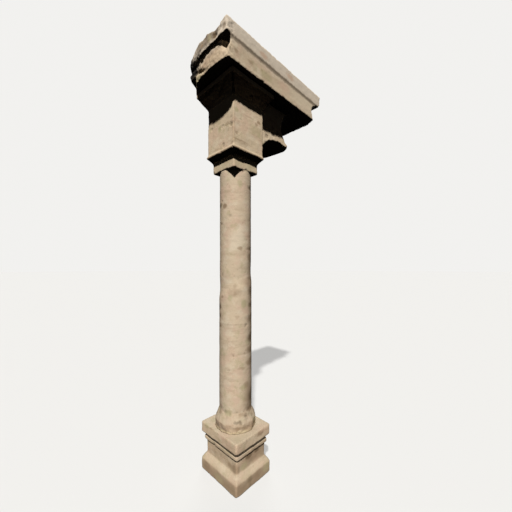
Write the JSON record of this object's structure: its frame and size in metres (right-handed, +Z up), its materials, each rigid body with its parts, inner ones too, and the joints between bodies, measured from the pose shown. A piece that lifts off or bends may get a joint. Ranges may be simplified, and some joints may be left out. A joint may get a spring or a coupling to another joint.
{
  "type": "stone pillar",
  "caption": "Weathered limestone pillar: rectangular pedestal, round shaft, square capital with a side bracket, and a broken length of cornice on top.",
  "frame": {"origin": "centre of the pedestal's underside, on the shaft's axis", "axes": "+Z up the shaft, +X along the cornice towards its whole end, +Y to the back"},
  "size_m": [1.4257, 0.6712, 4.0209],
  "materials": {
    "weathered_limestone": "matte, pitted and stained"
  },
  "bodies": {
    "root": {"pedestal": "weathered_limestone", "shaft": "weathered_limestone", "capital": "weathered_limestone", "cornice": "weathered_limestone"}
  },
  "joints": []
}
